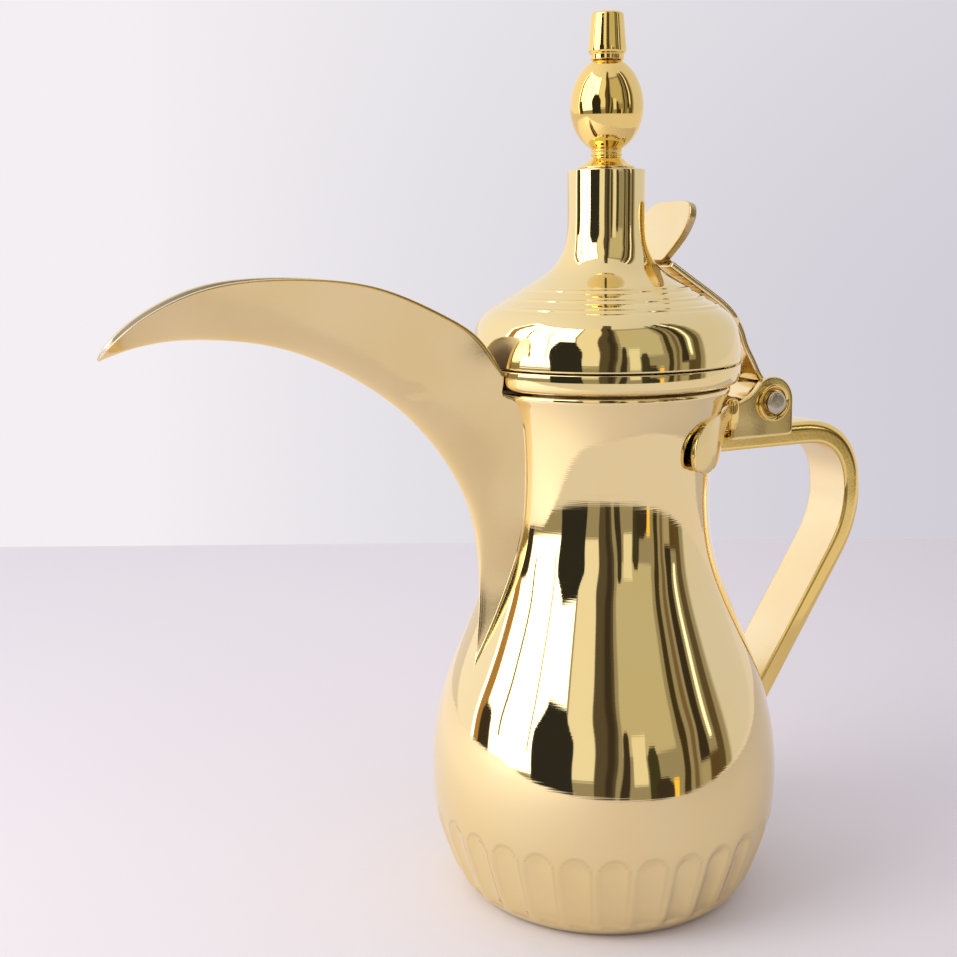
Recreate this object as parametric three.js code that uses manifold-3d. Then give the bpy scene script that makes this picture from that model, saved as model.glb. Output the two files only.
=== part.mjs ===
// A dallah: a long-spouted Arabic coffee pot of gold-plated sheet metal.
// Millimetres, +Z up. The origin is the centre of the base, on the surface the pot stands on.
// The spout points along -X and the handle along +X, so y = 0 is the plane of symmetry.
import * as THREE from "three";
import { mergeVertices } from "three/addons/utils/BufferGeometryUtils.js";
import Module from "manifold-3d";

const wasm = await Module();
wasm.setup();

// ---- driving dimensions ----
const sheet = 1.3; // wall of the body and the lid
const gap = 0.3; // left between pieces that touch
const turns = 60; // facets around the body
const lidTurns = 36; // facets around the lid
const finialTurns = 20; // facets around the finial
const pinTurns = 16; // facets around the hinge pin and its washers
const fluteCount = 30;
const fluteDepth = 0.9;
const fluteFoot = 5; // height where the flutes start
const fluteHead = 30; // height where they end in arches
const fluteWall = 2.2; // wall allowed for behind the flutes
const mouthHeight = 166.8;
const lidSeat = 167.6; // underside of the lid's band
const seamHeight = 174; // groove between the lid's band and its dome
const lidRadius = 42.5;
const neckTop = 233.4; // flat top of the lid's own neck
const neckRadius = 12.1;
const finialTop = 280;
const pinX = 57.5;
const pinZ = 158.5;
const pinRadius = 3;
const barrelRadius = 6.2; // end of the strap rolled round the pin
const earRadius = 8.4;
const earThick = 2.4;
const earInside = 10.3; // from the plane of symmetry to the ear
const barWidth = 19;
const barThick = 6.5;
const barTop = 149.2;
const strapWidth = 14;
const strapThick = 2.2;
const leafThick = 2.2;
const leafRoot = [20.4, 204.6]; // x and z of the thumb leaf's lower edge
const leafLean = 0.19; // radians back from upright
const spoutWall = 1.6;

// ---- materials ----
function metal(color, roughness) {
  return new THREE.MeshStandardMaterial({ color, roughness, metalness: 1 });
}

const goldPlate = () => metal(0xd9c07a, 0.08);
const deepGold = () => metal(0xd9b341, 0.08);
const steel = () => metal(0xb9b9bd, 0.25);

// ---- from geometry to solids and back ----
// A closed surface as a solid, turned right side out if its faces point in.
function solidOf(geometry) {
  geometry.deleteAttribute("normal");
  geometry.deleteAttribute("uv");
  const merged = mergeVertices(geometry, 1e-4);
  const corners = merged.index.array;
  const triVerts = [];
  const flippedVerts = [];
  for (let i = 0; i < corners.length; i += 3) {
    const [a, b, c] = [corners[i], corners[i + 1], corners[i + 2]];
    if (a !== b && b !== c && c !== a) {
      triVerts.push(a, b, c);
      flippedVerts.push(a, c, b);
    }
  }
  const vertProperties = new Float32Array(merged.attributes.position.array);
  const build = (list) => {
    const mesh = new wasm.Mesh({ numProp: 3, vertProperties, triVerts: new Uint32Array(list) });
    return new wasm.Manifold(mesh);
  };
  const solid = build(triVerts);
  return solid.volume() > 0 ? solid : build(flippedVerts);
}

function geometryOf(solid) {
  const { vertProperties, triVerts } = solid.getMesh();
  const geometry = new THREE.BufferGeometry();
  geometry.setAttribute("position", new THREE.BufferAttribute(new Float32Array(vertProperties), 3));
  geometry.setIndex(new THREE.BufferAttribute(new Uint32Array(triVerts), 1));
  return geometry;
}

// A profile of [radius, height] points turned about the Z axis.
function turned(profile, segments) {
  const points = profile.map(([radius, height]) => new THREE.Vector2(radius, height));
  return new THREE.LatheGeometry(points, segments).rotateX(Math.PI / 2);
}

function turnedSolid(profile, segments) {
  return solidOf(turned(profile, segments));
}

function ring(profile) {
  return [...profile, profile[0]];
}

// A side view outline in X and Z, given its width along Y and centred on y = 0.
function slab(shape, width, bevel = 0) {
  const settings = {
    depth: width - 2 * bevel,
    bevelEnabled: bevel > 0,
    bevelThickness: bevel,
    bevelSize: bevel,
    bevelOffset: -bevel,
    bevelSegments: 1,
    curveSegments: 5,
  };
  const geometry = new THREE.ExtrudeGeometry(shape, settings);
  return geometry.translate(0, 0, bevel - width / 2).rotateX(Math.PI / 2);
}

function rodAlongY(radius, length, segments) {
  return new THREE.CylinderGeometry(radius, radius, length, segments);
}

// The point that is `share` of the way along evenly numbered control points.
function along(points, share) {
  return new THREE.CatmullRomCurve3(points.map(([x, z, w = 0]) => new THREE.Vector3(x, z, w))).getPoint(share);
}

// ---- body ----
// Outer wall from the foot up to the rolled rim: radius, height.
const bellyProfile = [
  [42, 0],
  [45.6, 2.6],
  [47.2, fluteFoot],
  [51.9, 15],
  [55.1, 25],
  [56, fluteHead],
  [56.4, 38],
  [55.3, 55],
  [52, 70],
  [45.9, 85],
  [39.5, 100],
  [35, 113],
  [33.6, 125],
  [33.6, 138],
  [34.9, 151],
  [37, 160.5],
  [38.3, 163.6],
];
const rimProfile = [
  [39.3, 164.2],
  [39.6, 165.5],
  [39, mouthHeight - 0.3],
  [38.2, mouthHeight],
  [37.5, mouthHeight - 0.5],
];

function bodyShell() {
  const inner = [...bellyProfile].reverse().filter(([, z], i) => z < 163 && (z > 84 || (z > 4 && i % 2)));
  const inside = inner.map(([r, z]) => [r - (z < fluteHead + 9 ? fluteWall : sheet), z]);
  const outline = [...bellyProfile, ...rimProfile, [37.1, 164.5], ...inside, [39.8, 2.4], [39.8, 0]];
  const geometry = turned(ring(outline), turns);
  const place = geometry.attributes.position;
  const perTurn = outline.length + 1;
  for (let i = 0; i < place.count; i += 1) {
    const row = i % perTurn;
    const column = Math.floor(i / perTurn);
    const fluted = row < bellyProfile.length && bellyProfile[row][1] > fluteFoot && bellyProfile[row][1] < fluteHead;
    const betweenRidges = column % (turns / fluteCount) === 1;
    if (fluted && betweenRidges) {
      const radius = bellyProfile[row][0];
      const scale = (radius - fluteDepth) / radius;
      place.setXYZ(i, place.getX(i) * scale, place.getY(i) * scale, place.getZ(i));
    }
  }
  return pierced(solidOf(geometry));
}

// Small holes through the wall behind the spout hold the coffee grounds back.
function pierced(shell) {
  const holeRadius = 1.8;
  let open = shell;
  for (let row = 0; row < 4; row += 1) {
    for (const y of [-4.4, 0, 4.4]) {
      const hole = new THREE.CylinderGeometry(holeRadius, holeRadius, 12, 8);
      hole.rotateZ(Math.PI / 2).translate(-34, y, 126 + row * 8);
      open = open.subtract(solidOf(hole));
    }
  }
  return open;
}

function basePlate() {
  return turned([[0, 0], [39.3, 0], [39.3, 1.4], [0, 1.4]], lidTurns);
}

// Everything the body fills, with a little room, for cutting what is joined to it.
function bodyRoom() {
  const outline = [...bellyProfile, ...rimProfile].map(([r, z]) => [r + gap, z]);
  return turnedSolid([[0, -1], [42 + gap, -1], ...outline, [37, mouthHeight + gap], [0, mouthHeight + gap]], turns);
}

// ---- spout ----
// One rib per row, from the sharp lower end to the tip: the keel's x and z,
// the upper edge's x and z, and half the width between the upper edges.
const spoutRibs = [
  [-46.6, 79, -43.5, 79, 0.7],
  [-46.6, 87, -39, 89, 2.6],
  [-45.9, 96, -35, 99, 3.7],
  [-45.5, 106, -32, 109, 4.4],
  [-45.8, 115, -30, 120, 6],
  [-47.6, 127, -29.5, 132, 7.7],
  [-51.6, 138, -30, 145, 8.8],
  [-57.6, 148, -33, 157, 9.8],
  [-64, 156, -38.4, 167, 10.2],
  [-71, 163, -43.8, 175.6, 10.2],
  [-79.5, 169.5, -50.5, 184.6, 9.6],
  [-90, 175.9, -62, 191.8, 8.8],
  [-102, 181.4, -80, 199.3, 8],
  [-114.5, 184.9, -100, 202.4, 7.1],
  [-127, 186.5, -120, 202.2, 6.4],
  [-138, 186.8, -135, 199, 5.4],
  [-147.5, 185.6, -147, 193.2, 4.3],
  [-153.5, 184, -154, 187.9, 3.6],
  [-156.8, 182.9, -157, 185, 2.7],
  [-158.4, 182.2, -158.6, 182.9, 0.9],
];

// A box bent into the trough: its length follows the ribs, its height goes round
// the section from one upper edge under the keel to the other, its depth is the wall.
function spoutSolid() {
  const ribSteps = 24;
  const sideSteps = 8;
  const geometry = new THREE.BoxGeometry(1, 1, 1, ribSteps, sideSteps, 1);
  const place = geometry.attributes.position;
  const keels = spoutRibs.map(([x, z]) => [x, z]);
  const edges = spoutRibs.map(([, , x, z, w]) => [x, z, w]);
  for (let i = 0; i < place.count; i += 1) {
    const share = place.getX(i) + 0.5;
    const angle = place.getY(i) * Math.PI; // -90 to 90 degrees round the section
    const inside = place.getZ(i) > 0;
    const keel = along(keels, share);
    const edge = along(edges, share);
    const reach = Math.hypot(edge.x - keel.x, edge.y - keel.y);
    const wall = inside ? Math.min(spoutWall, reach * 0.4, edge.z * 0.6) : 0;
    const rise = wall / reach + (1 - wall / reach) * (1 - Math.cos(angle));
    const half = edge.z - wall;
    place.setXYZ(
      i,
      keel.x + (edge.x - keel.x) * rise,
      half * Math.sin(angle),
      keel.y + (edge.y - keel.y) * rise,
    );
  }
  return solidOf(geometry);
}

// Room for the closed lid to drop in between the spout's two ends.
function lidRoom() {
  const room = 0.9;
  return turnedSolid(
    [[0, 166], [41, 166], [lidRadius + room, 170], [lidRadius + room, 184], [0, 200]],
    lidTurns,
  );
}

// ---- handle ----
// The bar's outer line: level, round a corner, round a gentler bend, then straight down to the belly.
function handleShape() {
  const cornerRadius = 20;
  const bendRadius = 38;
  const cornerTurn = THREE.MathUtils.degToRad(75);
  const slant = THREE.MathUtils.degToRad(33.3);
  const corner = [78.8, barTop - cornerRadius];
  const meet = Math.PI / 2 - cornerTurn;
  const bend = [
    corner[0] + (cornerRadius - bendRadius) * Math.cos(meet),
    corner[1] + (cornerRadius - bendRadius) * Math.sin(meet),
  ];
  const straight = 62;
  const lineAt = (offset) => [bend[0] + (bendRadius - offset) * Math.cos(slant), bend[1] - (bendRadius - offset) * Math.sin(slant)];
  const down = ([x, z]) => [x - straight * Math.sin(slant), z - straight * Math.cos(slant)];
  const shape = new THREE.Shape();
  shape.moveTo(30, barTop);
  shape.absarc(corner[0], corner[1], cornerRadius, Math.PI / 2, meet, true);
  shape.absarc(bend[0], bend[1], bendRadius, meet, -slant, true);
  shape.lineTo(...down(lineAt(0)));
  shape.lineTo(...down(lineAt(barThick)));
  shape.absarc(bend[0], bend[1], bendRadius - barThick, -slant, meet, false);
  shape.absarc(corner[0], corner[1], cornerRadius - barThick, meet, Math.PI / 2, false);
  shape.lineTo(30, barTop - barThick);
  return shape;
}

// ---- hinge bracket ----
function earShape() {
  const front = 40.4;
  const bottom = 147;
  const shape = new THREE.Shape();
  shape.moveTo(front, bottom);
  shape.lineTo(pinX + earRadius - 1, bottom);
  shape.quadraticCurveTo(pinX + earRadius, bottom, pinX + earRadius, bottom + 1);
  shape.lineTo(pinX + earRadius, pinZ);
  shape.absarc(pinX, pinZ, earRadius, 0, THREE.MathUtils.degToRad(125), false);
  shape.quadraticCurveTo(48.5, 159.4, front, 158.4);
  return shape;
}

// The leaf-shaped lug that holds the bracket to the neck. One row per place along it,
// from its round end to its stem: the distance along it, then its lower and upper heights.
const lugRows = [
  [0, 146.6, 149.4],
  [1, 144.6, 152.2],
  [3, 142.8, 154.6],
  [6, 141.6, 156.6],
  [10, 141.6, 157.9],
  [15, 143.2, 158.4],
  [19, 146, 158.6],
  [23, 150, 158.8],
  [27, 152.8, 159],
  [31, 154.2, 159.2],
  [39, 155, 159.4],
];
const lugRadius = 37.6; // outer face where it follows the neck
const lugThick = 1.7;
const lugEnd = THREE.MathUtils.degToRad(-76); // where its round end stands
const lugLeaves = THREE.MathUtils.degToRad(-47); // where it leaves the neck and runs straight

// A box bent round the neck and then straight on, at a tangent, to the ear.
function lugSolid() {
  const geometry = new THREE.BoxGeometry(1, 1, 1, 20, 1, 1);
  const place = geometry.attributes.position;
  const rows = lugRows.map(([run, low, high]) => [run, low, high]);
  const bent = lugRadius * (lugLeaves - lugEnd);
  for (let i = 0; i < place.count; i += 1) {
    const row = along(rows, place.getX(i) + 0.5);
    const angle = Math.min(lugEnd + row.x / lugRadius, lugLeaves);
    const onward = Math.max(row.x - bent, 0);
    const radius = lugRadius - (place.getZ(i) > 0 ? lugThick : 0);
    const x = radius * Math.cos(angle) - onward * Math.sin(angle);
    const y = radius * Math.sin(angle) + onward * Math.cos(angle);
    place.setXYZ(i, x, y, place.getY(i) > 0 ? row.z : row.y);
  }
  return solidOf(geometry);
}

function bracketSide() {
  const ear = solidOf(slab(earShape(), earThick).translate(0, -earInside - earThick / 2, 0));
  const fold = new THREE.CylinderGeometry(2.1, 2.1, 8, 12).rotateX(Math.PI / 2);
  fold.translate(40.9, -earInside - 2.6, 156.4);
  return ear.add(solidOf(fold)).add(lugSolid());
}

function mirrored(solid) {
  const geometry = geometryOf(solid);
  const place = geometry.attributes.position;
  for (let i = 0; i < place.count; i += 1) place.setY(i, -place.getY(i));
  return solidOf(geometry);
}

function hingeBracket() {
  const near = bracketSide();
  const web = new THREE.BoxGeometry(16, 2 * earInside + 1, 1.8).translate(52, 0, barTop + gap + 0.9);
  const pinHole = rodAlongY(pinRadius + 0.15, 40, 20).translate(pinX, 0, pinZ);
  return near.add(mirrored(near)).add(solidOf(web)).subtract(solidOf(pinHole));
}

// ---- hinge pin ----
const earOutside = earInside + earThick;
const washerThick = 1;

function hingePin() {
  const headIn = earOutside + washerThick + 2 * gap;
  const headOut = headIn + 1.1;
  const profile = [
    [0, -headOut],
    [3, -headOut],
    [3.8, -headOut + 0.5],
    [3.8, -headIn],
    [pinRadius, -headIn],
    [pinRadius, headIn],
    [3.8, headIn],
    [3.8, headOut - 0.5],
    [3, headOut],
    [0, headOut],
  ];
  return turned(profile, pinTurns).rotateX(Math.PI / 2).translate(pinX, 0, pinZ);
}

function pinWasher(side) {
  const from = earOutside + gap;
  const to = from + washerThick;
  const profile = [
    [pinRadius + 0.2, from],
    [6.2, from],
    [6.2, to - 0.3],
    [5.7, to],
    [4.6, to - 0.3],
    [pinRadius + 0.2, to - 0.3],
  ];
  return turned(ring(profile), pinTurns).rotateX((side * Math.PI) / 2).translate(pinX, 0, pinZ);
}

// ---- lid ----
const domeProfile = [
  [lidRadius, seamHeight + 0.4],
  [lidRadius, 177],
  [42.1, 181],
  [41.3, 184.6],
  [39.8, 188],
  [37.4, 190.2],
  [34.7, 192],
  [34.3, 191.7],
  [30.4, 194.6],
  [30, 194.3],
  [26.1, 197.3],
  [25.7, 197],
  [18.8, 201.8],
  [15.6, 204.8],
  [13.6, 208.4],
  [12.5, 212.4],
  [neckRadius, 216],
  [neckRadius, neckTop - 0.5],
  [neckRadius - 0.5, neckTop],
];

function lidDome() {
  const inside = [
    [neckRadius - sheet, neckTop - sheet],
    [neckRadius - sheet, 214],
    [12.4, 207.6],
    [17.6, 200.8],
    [36.4, 189],
    [39.6, 185.6],
    [lidRadius - sheet, 179],
    [lidRadius - sheet, seamHeight + 0.4],
  ];
  return turned(ring([...domeProfile, [2.2, neckTop], [2.2, neckTop - sheet], ...inside]), lidTurns);
}

// The band below the groove, turned in under the edge so that it sits on the mouth.
function lidBand() {
  const profile = [
    [38.3, lidSeat],
    [40.2, lidSeat],
    [41.6, 168.6],
    [42.4, 170.6],
    [lidRadius, seamHeight - 0.1],
    [lidRadius - sheet, seamHeight - 0.1],
    [lidRadius - sheet, 170.6],
    [40.2, 168.9],
    [38.3, 168.9],
  ];
  return turned(ring(profile), lidTurns);
}

// The collar that drops inside the mouth and keeps the lid central.
function lidCollar() {
  const profile = [
    [34.2, 160.4],
    [35.4, 160.4],
    [35.4, 169.2],
    [39.9, 169.2],
    [39.9, 170.4],
    [34.2, 170.4],
  ];
  return turned(ring(profile), lidTurns);
}

// ---- lid strap and thumb leaf ----
// Middle line of the strap, from the pin's barrel up over the dome to the thumb leaf.
const strapLine = [
  [61.2, 161.6],
  [57.1, 166.8],
  [54.4, 172.1],
  [51.2, 177],
  [49.6, 180.6],
  [47.7, 183.9],
  [43.8, 188.7],
  [37.2, 193.6],
  [29.2, 198.6],
  [20.4, 204.2],
];

function strapShape() {
  const steps = 18;
  const line = new THREE.CatmullRomCurve3(strapLine.map(([x, z]) => new THREE.Vector3(x, z, 0)));
  const sideAt = (share, offset) => {
    const point = line.getPoint(share);
    const run = line.getTangent(share);
    return new THREE.Vector2(point.x + run.y * offset, point.y - run.x * offset);
  };
  const shares = Array.from({ length: steps + 1 }, (_, i) => i / steps);
  const outer = shares.map((share) => sideAt(share, strapThick / 2));
  const inner = shares.reverse().map((share) => sideAt(share, -strapThick / 2));
  return new THREE.Shape([...outer, ...inner]);
}

function lidStrap() {
  const strap = solidOf(slab(strapShape(), strapWidth));
  const barrel = solidOf(rodAlongY(barrelRadius, strapWidth, 20).translate(pinX, 0, pinZ));
  const bore = solidOf(rodAlongY(pinRadius + 0.2, 40, 20).translate(pinX, 0, pinZ));
  const dome = domeProfile.map(([r, z]) => [r + gap, z + gap]);
  const domeRoom = turnedSolid([[0, 172], [lidRadius + gap, 172], ...dome, [0, neckTop + gap]], lidTurns);
  return strap.add(barrel).subtract(bore).subtract(domeRoom);
}

// The leaf's outline, across and up from its root; its far corner is worn rounder.
function leafShape() {
  const shape = new THREE.Shape();
  shape.moveTo(-3.4, 0.6);
  shape.lineTo(3.4, 0.6);
  shape.bezierCurveTo(6, 3, 12.4, 6.6, 12.6, 11.4);
  shape.bezierCurveTo(12.6, 15.6, 8.4, 18.8, 2.4, 19.1);
  shape.lineTo(-8.4, 19.3);
  shape.bezierCurveTo(-12.6, 19.2, -14.6, 17.4, -14.5, 14.4);
  shape.bezierCurveTo(-14.2, 9.6, -7, 4.2, -3.4, 0.6);
  return shape;
}

function thumbLeaf() {
  const leaf = slab(leafShape(), leafThick, 0.4).rotateZ(Math.PI / 2);
  return leaf.rotateY(leafLean).translate(leafRoot[0], 0, leafRoot[1]);
}

// ---- finial ----
const studRadius = 1.8;
const studRoom = 2.1;

function finialFoot() {
  const from = neckTop + gap;
  const profile = [
    [studRoom, from],
    [8.9, from],
    [8.8, from + 0.7],
    [7, from + 2],
    [5.4, from + 3.3],
    [4.6, from + 3.6],
    [4.9, from + 4.2],
    [4.4, from + 4.7],
    [4.9, from + 5.3],
    [4.7, from + 5.8],
    [studRoom, from + 5.8],
  ];
  return turned(ring(profile), finialTurns);
}

function finialEgg() {
  const middle = 252.7;
  const halfHeight = 14.4;
  const radius = 11.3;
  const steps = 9;
  const from = -1.15;
  const to = 1.11;
  const curve = [];
  for (let i = 0; i <= steps; i += 1) {
    const angle = from + ((to - from) * i) / steps;
    curve.push([radius * Math.cos(angle), middle + halfHeight * Math.sin(angle)]);
  }
  const bottom = curve[0][1];
  const top = curve[steps][1];
  return turned(ring([[studRoom, bottom], ...curve, [studRoom, top]]), finialTurns);
}

function finialTip() {
  const from = 266;
  const bore = 274;
  const profile = [
    [0, bore],
    [studRoom, bore],
    [studRoom, from],
    [5.2, from],
    [5.2, from + 1.8],
    [5.85, from + 2.6],
    [5.85, from + 3.6],
    [4.95, finialTop - 1.8],
    [4.4, finialTop - 0.5],
    [3.4, finialTop],
    [0, finialTop],
  ];
  return turned(profile, finialTurns);
}

const nutHeight = 4.4;
const nutTop = neckTop - sheet - gap;

function finialStud() {
  return new THREE.CylinderGeometry(studRadius, studRadius, 48, 12).rotateX(Math.PI / 2).translate(0, 0, 249.5);
}

function studNut() {
  const body = solidOf(new THREE.CylinderGeometry(5, 5, nutHeight, 6).rotateX(Math.PI / 2));
  const hole = solidOf(new THREE.CylinderGeometry(studRoom, studRoom, 10, 12).rotateX(Math.PI / 2));
  return geometryOf(body.subtract(hole)).translate(0, 0, nutTop - nutHeight / 2);
}

// ---- assembly ----
const dallah = new THREE.Group();
const pot = new THREE.Group();
const lid = new THREE.Group();
dallah.add(pot, lid);

function place(group, name, geometry, material) {
  const mesh = new THREE.Mesh(geometry, material);
  mesh.name = name;
  group.add(mesh);
}

const room = bodyRoom();
place(pot, "body_shell", geometryOf(bodyShell()), goldPlate());
place(pot, "base_plate", basePlate(), goldPlate());
place(pot, "spout_shell", geometryOf(spoutSolid().subtract(room).subtract(lidRoom())), goldPlate());
place(pot, "handle_bar", geometryOf(solidOf(slab(handleShape(), barWidth, 0.8)).subtract(room)), goldPlate());
place(pot, "hinge_bracket", geometryOf(hingeBracket().subtract(room)), goldPlate());
place(pot, "hinge_pin", hingePin(), steel());
place(pot, "pin_washer_near", pinWasher(1), goldPlate());
place(pot, "pin_washer_far", pinWasher(-1), goldPlate());
place(lid, "lid_dome", lidDome(), goldPlate());
place(lid, "lid_band", lidBand(), goldPlate());
place(lid, "lid_collar", lidCollar(), goldPlate());
place(lid, "lid_strap", geometryOf(lidStrap()), goldPlate());
place(lid, "thumb_leaf", thumbLeaf(), goldPlate());
place(lid, "finial_foot", finialFoot(), deepGold());
place(lid, "finial_egg", finialEgg(), deepGold());
place(lid, "finial_tip", finialTip(), deepGold());
place(lid, "finial_stud", finialStud(), steel());
place(lid, "stud_nut", studNut(), steel());

export default dallah;
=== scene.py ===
import math

import bmesh
import bpy
import numpy as np
from mathutils import Matrix, Vector


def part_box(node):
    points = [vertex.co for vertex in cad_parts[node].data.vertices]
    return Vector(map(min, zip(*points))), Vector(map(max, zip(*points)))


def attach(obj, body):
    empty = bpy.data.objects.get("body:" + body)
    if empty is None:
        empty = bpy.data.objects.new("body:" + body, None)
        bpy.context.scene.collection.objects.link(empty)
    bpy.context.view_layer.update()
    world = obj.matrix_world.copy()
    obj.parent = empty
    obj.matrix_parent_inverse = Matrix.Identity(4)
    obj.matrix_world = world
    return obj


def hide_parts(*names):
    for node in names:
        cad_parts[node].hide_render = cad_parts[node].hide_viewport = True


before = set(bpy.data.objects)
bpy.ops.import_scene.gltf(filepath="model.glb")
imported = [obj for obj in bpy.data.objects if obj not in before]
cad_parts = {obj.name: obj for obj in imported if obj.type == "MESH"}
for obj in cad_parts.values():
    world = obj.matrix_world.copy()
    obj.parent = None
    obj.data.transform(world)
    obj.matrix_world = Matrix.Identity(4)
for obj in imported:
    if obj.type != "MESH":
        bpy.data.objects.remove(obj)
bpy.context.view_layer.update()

# A dallah, a long-spouted Arabic coffee pot of polished gold-plated metal.
# Shapes are worked out in millimetres, with the pot's axis on Z, its spout along -X
# and its handle along +X, and go into the meshes in metres.
MM = 0.001
TAU = 2 * np.pi


def corner_mm(node):
    """Lowest and highest corner of a CAD node, in millimetres."""
    low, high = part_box(node)
    return np.array(low) / MM, np.array(high) / MM


PIN_X, _, PIN_Z = sum(corner_mm("hinge_pin")) / 2


# ---------------------------------------------------------------- curves
def unit(vectors):
    """The same directions at length 1."""
    return vectors / np.linalg.norm(vectors, axis=-1, keepdims=True)


def running_length(line):
    """Length along the line up to each of its points."""
    return np.concatenate([[0], np.cumsum(np.linalg.norm(np.diff(line, axis=0), axis=1))])


def smooth_through(points, count, by_number=False):
    """Natural cubic spline through the points, one cubic for each coordinate over the
    running length (or over the point numbers), at count even steps."""
    p = np.asarray(points, float)
    t = np.arange(len(p), dtype=float) if by_number else running_length(p)
    h = np.diff(t)
    n = len(p)
    a = np.zeros((n, n))
    b = np.zeros_like(p)
    a[0, 0] = a[-1, -1] = 1
    i = np.arange(1, n - 1)
    a[i, i - 1] = h[:-1]
    a[i, i] = 2 * (h[:-1] + h[1:])
    a[i, i + 1] = h[1:]
    slope = np.diff(p, axis=0) / h[:, None]
    b[1:-1] = 6 * np.diff(slope, axis=0)
    m = np.linalg.solve(a, b)
    s = np.linspace(0, t[-1], count)
    k = np.clip(np.searchsorted(t, s, side="right") - 1, 0, n - 2)
    u = (s - t[k])[:, None]
    hk = h[k][:, None]
    return (p[k] + u * (slope[k] - hk * (2 * m[k] + m[k + 1]) / 6)
            + u ** 2 * m[k] / 2 + u ** 3 * (m[k + 1] - m[k]) / (6 * hk))


def soft_corners(points, radius, steps=5, closed=False):
    """The polyline with each corner cut back by the radius (or by its own radius from a
    list) and bridged by a quadratic arc whose middle control is the corner."""
    p = np.asarray(points, float)
    n = len(p)
    rad = np.broadcast_to(np.asarray(radius, float), (n,))
    out = []
    for i in range(n):
        if not closed and i in (0, n - 1):
            out.append(p[i][None])
            continue
        before, after = p[i - 1], p[(i + 1) % n]
        lb, la = np.linalg.norm(before - p[i]), np.linalg.norm(after - p[i])
        r = min(rad[i], 0.49 * lb, 0.49 * la)
        if r <= 0:
            out.append(p[i][None])
            continue
        start = p[i] + (before - p[i]) * r / lb
        end = p[i] + (after - p[i]) * r / la
        u = np.linspace(0, 1, steps + 1)[:, None]
        out.append((1 - u) ** 2 * start + 2 * u * (1 - u) * p[i] + u ** 2 * end)
    return np.concatenate(out)


def evenly(line, count, closed=False):
    """The same line at count points, evenly spaced along its length."""
    p = np.asarray(line, float)
    if closed:
        p = np.concatenate([p, p[:1]])
    run = running_length(p)
    s = np.linspace(0, run[-1], count + 1)[:-1] if closed else np.linspace(0, run[-1], count)
    return np.stack([np.interp(s, run, p[:, k]) for k in range(p.shape[1])], axis=-1)


def eased(line, reach):
    """The line smoothed by a running mean, bell-weighted, over reach points each way."""
    kernel = np.hanning(2 * reach + 1)
    kernel /= kernel.sum()
    longer = np.concatenate([np.repeat(line[:1], reach, 0), line,
                             np.repeat(line[-1:], reach, 0)])
    return np.stack([np.convolve(longer[:, k], kernel, "valid")
                     for k in range(line.shape[1])], -1)


def step_up(x, low, high):
    """Smooth step: 0 below low, 1 above high, 3t^2 - 2t^3 between."""
    t = np.clip((x - low) / (high - low), 0, 1)
    return t * t * (3 - 2 * t)


# ---------------------------------------------------------------- meshes
def grid_quads(rows, columns, rows_close=False):
    """Quads of a rows x columns grid of points numbered row by row; columns always close."""
    r, c = np.meshgrid(np.arange(rows if rows_close else rows - 1), np.arange(columns),
                       indexing="ij")
    r1, c1 = (r + 1) % rows, (c + 1) % columns
    return np.stack([r * columns + c, r * columns + c1, r1 * columns + c1, r1 * columns + c],
                    axis=-1).reshape(-1, 4)


def make_piece(name, body, points, finishes, stands_for, quads=None,
               ring=False, areas=None, seam=1e-6, crease_shade=None):
    """A mesh object from points in millimetres. Without quads of their own the points are a
    grid of rows and columns, and ring joins its last row to its first. Doubles are merged,
    so poles and seams close, and faces are turned outwards. areas gives each quad's finish
    number, and crease shade each point's share of painted shade in its hollows."""
    mesh = bpy.data.meshes.new(name)
    if quads is None:
        quads = grid_quads(*points.shape[:2], rows_close=ring)
    mesh.from_pydata((points.reshape(-1, 3) * MM).tolist(), [], quads.tolist())
    for finish in finishes:
        mesh.materials.append(finish)
    if areas is not None:
        mesh.polygons.foreach_set("material_index", np.asarray(areas, np.int32))
    if crease_shade is not None:
        marks = mesh.attributes.new("painted_crease_shade", "FLOAT", "POINT")
        marks.data.foreach_set("value", np.asarray(crease_shade, np.float32))
    shape = bmesh.new()
    shape.from_mesh(mesh)
    bmesh.ops.remove_doubles(shape, verts=shape.verts, dist=seam)
    bmesh.ops.dissolve_degenerate(shape, edges=shape.edges, dist=seam / 4)
    bmesh.ops.recalc_face_normals(shape, faces=shape.faces)
    if shape.calc_volume(signed=True) < 0:
        bmesh.ops.reverse_faces(shape, faces=shape.faces)
    shape.to_mesh(mesh)
    shape.free()
    mesh.polygons.foreach_set("use_smooth", np.ones(len(mesh.polygons), bool))
    obj = bpy.data.objects.new(name, mesh)
    bpy.context.scene.collection.objects.link(obj)
    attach(obj, body)
    if stands_for:
        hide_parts(*stands_for)
    return obj


def turned_points(profile, columns, axis="z", centre=(0, 0)):
    """Surface of revolution: each (radius, height) of the profile goes round the axis as
    (radius cos a, radius sin a, height) for even angles a."""
    p = np.asarray(profile, float)
    a = np.arange(columns) * TAU / columns
    r, z = p[:, :1], np.repeat(p[:, 1:2], columns, axis=1)
    if axis == "z":
        return np.stack([r * np.cos(a), r * np.sin(a), z], axis=-1)
    return np.stack([centre[0] + r * np.cos(a), z, centre[1] + r * np.sin(a)], axis=-1)


def turned_piece(name, body, profile, columns, finishes, stands_for,
                 ring=True, axis="z", centre=(0, 0)):
    """A lathe piece. ring joins the profile's end to its start; else both ends are poles."""
    make_piece(name, body, turned_points(profile, columns, axis, centre), finishes, stands_for,
               ring=ring)


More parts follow.
